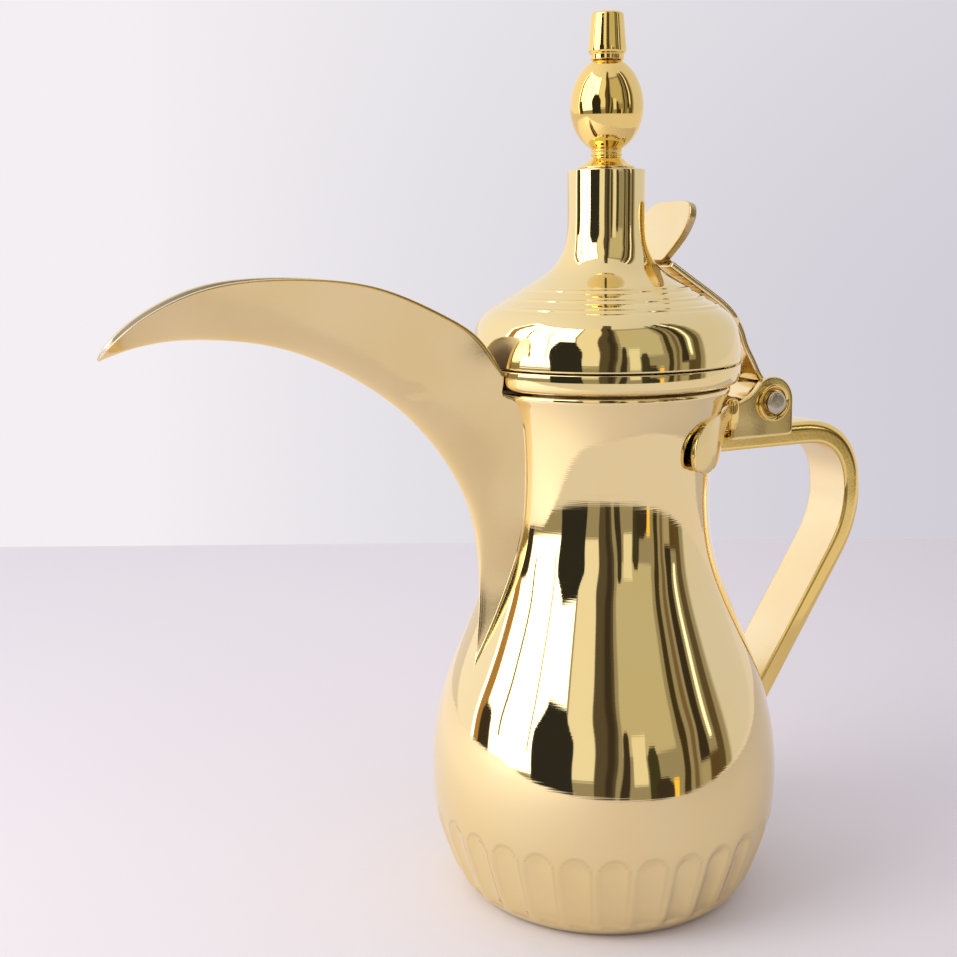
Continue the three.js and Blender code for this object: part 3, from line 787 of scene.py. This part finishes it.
def make_pin():
    """Pin with hammered heads, and two dished washers, all turned about the hinge."""
    end = corner_mm("hinge_pin")[1][1]
    line = smooth_through([(0, end), (2.2, end - 0.05), (3.3, end - 0.35), (3.8, end - 0.8)], 14)
    shank = soft_corners([(3.8, end - 0.8), (3.8, end - 1.1), (3.0, end - 1.2), (3.0, 0)],
                         0.15, 3)
    half = np.concatenate([line, shank[1:]])
    other = half[::-1][1:] * np.array([1, -1])
    turned_piece("pin_peened", "pot", np.concatenate([half, other]), 72, [pin_steel],
                 ["hinge_pin"], ring=False, axis="y", centre=(PIN_X, PIN_Z))
    for side, name, node in ((-1, "washer_dished_near", "pin_washer_near"),
                             (1, "washer_dished_far", "pin_washer_far")):
        inner, outer = EAR_IN + EAR_THICK + 0.1, EAR_IN + EAR_THICK + 1.35
        line = soft_corners([(3.2, inner), (6.2, inner), (6.2, outer - 0.2), (5.7, outer),
                             (5.0, outer - 0.25), (4.4, inner + 0.35), (3.2, inner + 0.3)],
                            [0.1, 0.2, 0.25, 0.35, 0.4, 0.4, 0.1], 5, closed=True)
        line = line * np.array([1, side])
        turned_piece(name, "pot", line, 90, [knob_gold], [node], axis="y",
                     centre=(PIN_X, PIN_Z))


# ---------------------------------------------------------------- lid
DOME_LINE = [(42.35, 174.5), (42.3, 178.0), (41.7, 182.6), (40.2, 187.0), (37.4, 190.2),
             (33.2, 192.9), (28.2, 195.9), (22.6, 199.3), (18.2, 202.2), (15.3, 205.2),
             (13.5, 208.6), (12.5, 212.6), (12.15, 217.0), (12.1, 224.0), (12.1, 231.6)]
DOME_RIDGES = [(26.1, 197.3), (30.5, 194.6), (34.8, 192.0)]


def make_dome():
    """Dome and its neck, turned: a spline line with three small round ridges raised along
    its normal, a crisp shoulder at the top, and the same line again inside."""
    line = smooth_through(DOME_LINE, 420)
    along = unit(np.gradient(line, axis=0))
    normal = np.stack([along[:, 1], -along[:, 0]], -1)
    lift = np.zeros(len(line))
    for ridge in DOME_RIDGES:
        middle = np.linalg.norm(line - ridge, axis=1).argmin()
        run = np.abs(np.arange(len(line)) - middle) * 0.19
        lift += 0.24 * np.exp(-(run / 0.6) ** 2) - 0.1 * np.exp(-((run - 1.3) / 0.45) ** 2)
    keep = np.unique(np.concatenate([np.arange(0, len(line), 3),
                                     np.nonzero(np.abs(lift) > 0.01)[0], [len(line) - 1]]))
    outer = (line + normal * lift[:, None])[keep]
    inside = (line - normal * WALL)[::9][::-1]
    inside = inside[inside[:, 1] < 230]
    top = soft_corners([(12.1, 231.6), (12.1, 233.4), (2.3, 233.4), (2.3, 232.1), (10.8, 232.1),
                        (10.8, 229.5)], [0, 0.35, 0.2, 0.2, 0.2, 0], 5)
    ring = np.concatenate([outer, top[1:], inside])
    turned_piece("lid_dome_spun", "lid", ring, 240, [lid_gold], ["lid_dome"])


def make_band():
    """The band under the groove: a rolled foot, an upright side, turned in inside."""
    line = soft_corners([(38.3, 167.6), (40.2, 167.6), (42.0, 168.6), (42.5, 171.2), (42.5, 173.9),
                         (41.2, 173.9), (41.0, 170.6), (40.0, 168.9), (38.3, 168.9)],
                        [0.3, 0.9, 1.3, 1.8, 0.35, 0.3, 1.0, 0.6, 0.3], 8, closed=True)
    turned_piece("lid_band_rolled", "lid", line, 240, [lid_gold], ["lid_band"])
    collar = soft_corners([(34.2, 160.4), (35.4, 160.4), (35.4, 169.2), (39.9, 169.2),
                           (39.9, 170.4), (34.2, 170.4)], 0.4, 4, closed=True)
    turned_piece("lid_collar_ring", "lid", collar, 180, [lining], ["lid_collar"])


STRAP_LINE = [(20.4, 204.2), (29.2, 198.6), (37.2, 193.6), (43.8, 188.7), (47.7, 183.9),
              (49.5, 180.4), (50.9, 176.8), (53.8, 172.0), (56.6, 167.0), (60.2, 162.4)]
BARREL_MID = 4.7


def make_strap():
    """The strap: a flat strip with rounded edges, carried from under the thumb leaf over the
    dome's shoulder and down to the pin, then rolled once round it as the hinge's barrel."""
    down = smooth_through(STRAP_LINE, 120)
    a = np.radians(np.linspace(48, -262, 90))
    roll = np.stack([PIN_X + BARREL_MID * np.cos(a), PIN_Z + BARREL_MID * np.sin(a)], -1)
    line = eased(evenly(np.concatenate([down[:-3], roll]), 220), 4)
    run = np.linspace(0, 1, len(line))
    half_thick = 1.1 + 0.2 * step_up(run, 0.6, 0.75)
    half_wide = 7.0 - 0.5 * step_up(run, 0.36, 0.40)
    q = np.linspace(0, TAU, 72, endpoint=False)
    edge = 0.5
    sides = []
    for half, wave in ((half_wide, np.cos(q)), (half_thick, np.sin(q))):
        squared = np.sign(wave) * np.minimum(np.abs(wave) * 1.45, 1)
        sides.append((half[:, None] - edge) * squared + edge * wave)
    pts = capped(swept_points(line, np.stack(sides, -1)))
    make_piece("lid_strap_rolled", "lid", pts, [leaf_gold], ["lid_strap"])


LEAF_ROOT = np.array([20.4, 204.6])
LEAF_LEAN = 0.19


def leaf_outline(count):
    """The thumb leaf's edge, across and up from its root; its far corner is rounder."""
    points = soft_corners([(-3.0, 0.4), (3.0, 0.4), (8.4, 4.6), (12.8, 9.6), (11.6, 15.6),
                           (5.6, 19.1), (-9.6, 19.4), (-13.8, 18.2), (-14.9, 14.2), (-12.0, 9.0),
                           (-7.0, 4.0)],
                          [1.2, 1.5, 4, 5, 5, 5, 4, 3, 3.4, 4, 4], 8, closed=True)
    return evenly(points, count, closed=True)


def make_leaf():
    """The thumb leaf: a slightly dished plate leaning back over the strap, with a filed,
    rough edge."""
    thick = 2.5

    def place(uv, height):
        across, up = uv[:, 0], uv[:, 1]
        dish = 0.012 * ((across / 1.3) ** 2 + 0.5 * (up - 10) ** 2) * 0.5
        along = height - thick / 2 - dish
        x = LEAF_ROOT[0] + 0.3 + math.sin(LEAF_LEAN) * up + math.cos(LEAF_LEAN) * along
        z = LEAF_ROOT[1] + math.cos(LEAF_LEAN) * up - math.sin(LEAF_LEAN) * along
        return np.stack([x, across, z], -1)

    pts = plate_points(leaf_outline(150), np.array([-0.5, 10.5]), 0, thick, 0.35, place)
    row = np.repeat(np.arange(len(pts) - 1), pts.shape[1])
    rim = (row >= 10) & (row <= 14)  # the middle of the rings that turn round the edge
    make_piece("thumb_leaf_plate", "lid", pts, [leaf_gold, edge_gold], ["thumb_leaf"], areas=rim)


def make_leaf_root():
    """The blob of solder at the leaf's root: a flattened ball with a few bumps,
    1 + 0.12 sin(3a + 2b) + 0.08 sin(5a) out from its middle."""
    b = np.linspace(-np.pi / 2, np.pi / 2, 40)[:, None]
    a = np.linspace(0, TAU, 72, endpoint=False)[None, :]
    swell = 1 + 0.12 * np.sin(3 * a + 2 * b) * np.cos(b) + 0.08 * np.sin(5 * a) * np.cos(b) ** 2
    x = LEAF_ROOT[0] + 0.9 + 1.5 * swell * np.cos(b) * np.cos(a)
    y = 4.4 * swell * np.cos(b) * np.sin(a)
    z = LEAF_ROOT[1] + 0.5 + 1.3 * swell * np.sin(b) + 0 * a
    pts = np.stack([x, y, z], -1)
    make_piece("leaf_root_solder", "lid", pts, [solder], ["thumb_leaf"])


def make_knob():
    """The knob's turned parts on their stud: a flared foot with fine rings, an egg, and a
    tapered tip."""
    foot = soft_corners([(2.1, 233.7), (8.9, 233.7), (8.9, 234.2), (6.6, 235.4), (5.2, 236.7),
                         (4.5, 237.2), (5.1, 237.9), (4.5, 238.5), (5.0, 239.1), (4.6, 239.7),
                         (2.1, 239.7)],
                        [0.1, 0.25, 0.25, 1.0, 0.8, 0.3, 0.35, 0.3, 0.35, 0.3, 0.1], 6, closed=True)
    turned_piece("knob_foot", "lid", foot, 96, [knob_gold], ["finial_foot"])
    a = np.linspace(-1.17, 1.16, 90)
    egg = np.stack([11.3 * np.cos(a) * (1 - 0.03 * np.sin(a)), 252.7 + 14.4 * np.sin(a)], -1)
    egg = np.concatenate([[(2.1, egg[0, 1])], egg, [(2.1, egg[-1, 1])]])
    turned_piece("knob_egg", "lid", egg, 128, [knob_gold], ["finial_egg"])
    tip = soft_corners([(0, 274), (2.1, 274), (2.1, 266), (5.1, 266), (5.1, 267.6), (5.85, 268.3),
                        (5.85, 269.6), (4.95, 279.5), (4.4, 280.0), (0, 280.0)],
                       [0, 0.1, 0.1, 0.3, 0.25, 0.5, 0.5, 0.4, 0.6, 0], 7)
    turned_piece("knob_tip", "lid", tip, 96, [knob_gold], ["finial_tip"],
                 ring=False)


def make_stud():
    """The threaded stud: its radius rises and falls once a millimetre along a helix; and a
    six-sided nut with a chamfer inside the lid's neck."""
    low, high = corner_mm("finial_stud")
    z = np.linspace(low[2], high[2], 400)
    a = np.arange(24) * TAU / 24
    thread = 0.12 * np.cos(TAU * (z[:, None] - a[None] / TAU))
    r = high[0] - 0.14 + thread
    ends = np.minimum(np.minimum(z - z[0], z[-1] - z) / 0.8, 1)[:, None]
    r = r * (0.8 + 0.2 * ends)
    pts = np.stack([r * np.cos(a), r * np.sin(a), np.repeat(z[:, None], 24, 1)], -1)
    pts = capped(pts)
    make_piece("knob_stud", "lid", pts, [pin_steel], ["finial_stud"])
    low, high = corner_mm("stud_nut")
    a = np.arange(72) * TAU / 72
    hexagon = 4.33 / np.cos((a + np.pi / 6) % (np.pi / 3) - np.pi / 6)
    h = high[2] - low[2]
    rings = [(2.15, 0.3), (2.45, 0.0), (4.25, 0.0), (hexagon, 0.7), (hexagon, h - 0.7),
             (4.25, h), (2.45, h), (2.15, h - 0.3)]
    grid = [np.stack([r * np.cos(a), r * np.sin(a), 0 * a + low[2] + up], -1) for r, up in rings]
    make_piece("knob_nut", "lid", np.array(grid), [pin_steel], ["stud_nut"], ring=True)


make_body()
make_base()
make_spout()
make_spout_seam()
make_handle()
for ear_side, ear_name in ((1, "near"), (-1, "far")):
    make_ear(ear_side, "bracket_ear_" + ear_name)
    make_lug(ear_side, "bracket_lug_" + ear_name)
    make_fold(ear_side, "bracket_fold_" + ear_name)
make_web()
make_pin()
make_dome()
make_band()
make_strap()
make_leaf()
make_leaf_root()
make_knob()
make_stud()


# ---------------------------------------------------------------- camera, floor and light
LOOK_YAW = math.radians(27.3)  # how far the camera looks off the pot's plane of symmetry
AHEAD = np.array([math.sin(LOOK_YAW), math.cos(LOOK_YAW)])  # level directions it sees as
RIGHTWARD = np.array([AHEAD[1], -AHEAD[0]])                 # away and to the right
TO_CAMERA = math.radians(-122.5)  # bearing from the pot towards the camera


def aimed_camera():
    """The camera: 52.8 mm lens at about the height of the lid's neck, looking off the pot's
    plane of symmetry and 10.4 degrees down, rolled by half a degree."""
    dip, roll = math.radians(10.41), math.radians(-0.5)
    ahead = np.array([*(AHEAD * math.cos(dip)), -math.sin(dip)])
    right = np.array([*RIGHTWARD, 0.0])
    up = np.cross(right, ahead)
    lens = bpy.data.cameras.new("camera")
    lens.lens, lens.sensor_width = 52.8, 36.0
    lens.clip_start, lens.clip_end = 0.01, 20.0
    camera = bpy.data.objects.new("camera", lens)
    turn = np.eye(4)
    turn[:3, 0] = math.cos(roll) * right + math.sin(roll) * up
    turn[:3, 1] = -math.sin(roll) * right + math.cos(roll) * up
    turn[:3, 2] = -ahead
    turn[:3, 3] = np.array([-0.2396, -0.3762, 0.2182])
    camera.matrix_world = Matrix(turn.tolist())
    bpy.context.scene.collection.objects.link(camera)
    bpy.context.scene.camera = camera


def pale_floor():
    """A flat sheet with round corners, lined up with the camera: rings of its outline
    shrinking to a point beside the pot."""
    line = soft_corners([(-0.95, -0.30), (0.03, -0.325), (0.34, -0.12), (0.50, 0.08), (0.62, 0.30),
                         (0.70, 0.5), (-0.95, 0.5)],
                        [0.1, 0.12, 0.1, 0.1, 0.1, 0.02, 0.02], 16, closed=True)
    flat = np.linspace(1, 0, 30)[:, None, None] * evenly(line, 240, closed=True)
    xy = flat[..., :1] * RIGHTWARD + flat[..., 1:] * AHEAD
    pts = np.concatenate([xy, np.full(xy.shape[:2] + (1,), -0.0004)], axis=-1)
    mesh = bpy.data.meshes.new("floor")
    mesh.from_pydata(pts.reshape(-1, 3).tolist(), [], grid_quads(30, 240).tolist())
    shape = bmesh.new()
    shape.from_mesh(mesh)
    bmesh.ops.remove_doubles(shape, verts=shape.verts, dist=1e-6)
    shape.to_mesh(mesh)
    shape.free()
    floor = bpy.data.objects.new("floor", mesh)
    bpy.context.scene.collection.objects.link(floor)
    paint = bpy.data.materials.new("pale_floor")
    paint.use_nodes = True
    net = Net(paint.node_tree)
    place = net.add("ShaderNodeTexCoord").outputs["Object"]
    drift = net.noise(place, 4.0, 2.0)
    colour = net.blend(drift, (0.78, 0.745, 0.785), (0.82, 0.78, 0.81))
    across = net.add("ShaderNodeVectorMath", {0: place, 1: (*RIGHTWARD, 0.0)},
                     operation="DOT_PRODUCT").outputs["Value"]
    # painted shade: the floor's colour darkens towards the right, away from the window light
    colour = net.blend(net.ramp(across, -0.1, 0.45, 0.0, 0.8), colour, (0.66, 0.63, 0.67))
    # painted light: the floor glows for reflected rays only, up to 0.26, towards the left
    shiny = net.add("ShaderNodeLightPath").outputs["Is Glossy Ray"]
    painted_reflection_glow = net.math("MULTIPLY", shiny, net.ramp(across, -0.26, 0.02, 0.26, 0.0))
    shader = net.add("ShaderNodeBsdfPrincipled", {"Base Color": colour, "Roughness": 0.7,
                                                  "Specular IOR Level": 0.2,
                                                  "Emission Color": (1.0, 0.98, 0.93),
                                                  "Emission Strength": painted_reflection_glow})
    net.end("ShaderNodeOutputMaterial", shader)
    mesh.materials.append(paint)


# What the polished metal sees in front of it: middle and half width of each panel round
# the pot from the camera's side, lowest and highest edge (all degrees), softness, how
# much its top drops for each degree beyond the middle half, and colour.
PANELS = [
    (0, 92, -60, 56, 4, 0, (0.36, 0.33, 0.25)),
    (-62, 36, -5, 55, 1.5, 0, (3.0, 3.0, 3.1)),
    (-92, 3.5, -10, 50, 1.0, 0, (0.50, 0.28, 0.10)),
    (-64, 32, 33, 33.8, 0.4, 0.2, (0.25, 0.22, 0.18)),
    (-50, 0.5, 3, 50, 0.5, 0, (0.3, 0.27, 0.2)),
    (-73, 0.8, 3, 52, 0.5, 0, (0.2, 0.17, 0.14)),
    (-86, 5, -60, 9, 1.5, 0.9, (0.05, 0.04, 0.03)),
    (-14, 10, -4, 60, 1.0, 0, (1.0, 0.95, 0.83)),
    (-33, 13.5, -60, 22, 0.8, 1.5, (0.03, 0.03, 0.028)),
    (3, 6.5, -60, 70, 1.0, 0, (0.11, 0.09, 0.065)),
    (5.5, 2.2, -60, 60, 2.5, 0, (0.05, 0.04, 0.03)),
    (31, 19, 6, 52, 1.5, 0, (0.62, 0.58, 0.44)),
    (24, 5, -6, 14, 0.7, 0, (0.95, 0.9, 0.75)),
    (14.5, 2.2, -60, 16, 1.0, 2, (0.05, 0.04, 0.03)),
    (34, 4, -60, 9, 1.0, 2.5, (0.06, 0.055, 0.03)),
    (40, 6, -60, -4, 1.0, 1, (0.05, 0.04, 0.03)),
    (48, 1.7, -60, -5, 1.0, 0, (1.3, 0.8, 0.12)),
    (56, 2.4, -60, 60, 1.0, 0, (0.06, 0.045, 0.02)),
    (63, 1.6, -60, 60, 1.0, 0, (0.20, 0.14, 0.08)),
    (70, 3.2, -60, 60, 1.0, 0, (0.045, 0.035, 0.025)),
    (77, 1.4, 4, 60, 0.7, 0, (1.6, 1.6, 1.5)),
    (77, 7, -60, -1, 2.0, 0.4, (0.12, 0.08, 0.04)),
    (84, 3, -60, 60, 1.5, 0, (0.12, 0.09, 0.05)),
    (69.5, 3.2, -60, -2.5, 2.0, 0, (0.45, 0.41, 0.31)),
]


def studio_world():
    """Plain pale studio for the eye and the floor; for reflections, the same pale walls
    with a lit window, posts and dark flags set up in front of the pot."""
    world = bpy.data.worlds.new("studio")
    bpy.context.scene.world = world
    world.use_nodes = True
    net = Net(world.node_tree)
    place = net.add("ShaderNodeTexCoord").outputs["Generated"]
    turned = net.add("ShaderNodeVectorRotate", {"Vector": place, "Angle": -TO_CAMERA},
                     rotation_type="Z_AXIS").outputs[0]
    split = net.add("ShaderNodeSeparateXYZ", {0: turned})
    degrees = 180 / math.pi
    around = net.math("MULTIPLY", net.math("ARCTAN2", split.outputs[1], split.outputs[0]), degrees)
    above = net.math("MULTIPLY", net.math("ARCSINE", split.outputs[2]), degrees)
    waver = net.math("SUBTRACT", net.noise(place, 2.2, 1.0), 0.5)
    around = net.math("ADD", around, net.math("MULTIPLY", waver, 9.0))
    leftward = net.ramp(split.outputs[1], -0.32, 0.32, 1.0, 0.0, smooth=False)
    low_part = net.ramp(split.outputs[2], -0.1, 0.35, 1.0, 0.0)
    plain = net.blend(leftward, (0.72, 0.70, 0.74), (0.90, 0.865, 0.895))
    dim_corner = net.math("MULTIPLY", low_part, net.math("SUBTRACT", 1.0, leftward))
    plain = net.blend(dim_corner, plain, (0.62, 0.60, 0.67))
    seen = net.blend(net.ramp(split.outputs[1], -0.9, 0.6), (1.10, 1.07, 1.12),
                     (0.78, 0.76, 0.80))
    for middle, half, low, high, soft, drop, colour in PANELS:
        off = net.math("ABSOLUTE", net.math("SUBTRACT", around, middle))
        wide = net.ramp(off, half - soft / 2, half + soft / 2, 1.0, 0.0)
        beyond = net.math("MAXIMUM", net.math("SUBTRACT", off, half / 2), 0.0)
        lifted = net.math("ADD", above, net.math("MULTIPLY", beyond, drop)) if drop else above
        tall = net.math("MULTIPLY", net.ramp(above, low - soft / 2, low + soft / 2),
                        net.ramp(lifted, high - soft / 2, high + soft / 2, 1.0, 0.0))
        seen = net.blend(net.math("MULTIPLY", wide, tall), seen, colour)
    share = net.math("DIVIDE", around, 84.0)
    bow = net.math("MULTIPLY", net.math("MULTIPLY", share, share), 5.5)
    brink = net.math("SUBTRACT", above, bow)  # below it only the pale table is mirrored
    seen = net.blend(net.ramp(brink, -15.2, -14.2), (0.85, 0.80, 0.83), seen)
    shiny = net.add("ShaderNodeLightPath").outputs["Is Glossy Ray"]
    light = net.blend(shiny, plain, seen)
    back = net.add("ShaderNodeBackground", {"Color": light, "Strength": 1.0})
    net.end("ShaderNodeOutputWorld", back)


def soft_lamp(name, right, ahead, height, size, watts, aim):
    """A square soft light, placed by how far right, away and up it is from the pot as the
    camera looks at it; it lights the floor and is not mirrored itself."""
    def spot(a, b, z):
        return Vector((*(a * RIGHTWARD + b * AHEAD), z))

    lamp = bpy.data.lights.new(name, "AREA")
    lamp.shape, lamp.size, lamp.energy = "SQUARE", size, watts
    lamp.color = (1.0, 0.98, 0.96)
    light = bpy.data.objects.new(name, lamp)
    light.visible_glossy = False
    light.visible_camera = False
    light.location = spot(right, ahead, height)
    look = spot(*aim) - light.location
    light.rotation_euler = look.to_track_quat("-Z", "Y").to_euler()
    bpy.context.scene.collection.objects.link(light)


aimed_camera()
pale_floor()
studio_world()
soft_lamp("window_light", -0.97, -0.52, 0.85, 0.7, 6.3, (0.0, 0.0, 0.08))
soft_lamp("table_light", -0.55, -0.22, 0.30, 0.2, 0.4, (-0.45, -0.18, 0.0))
bpy.context.scene.view_settings.view_transform = "Standard"
bpy.context.scene.view_settings.look = "None"
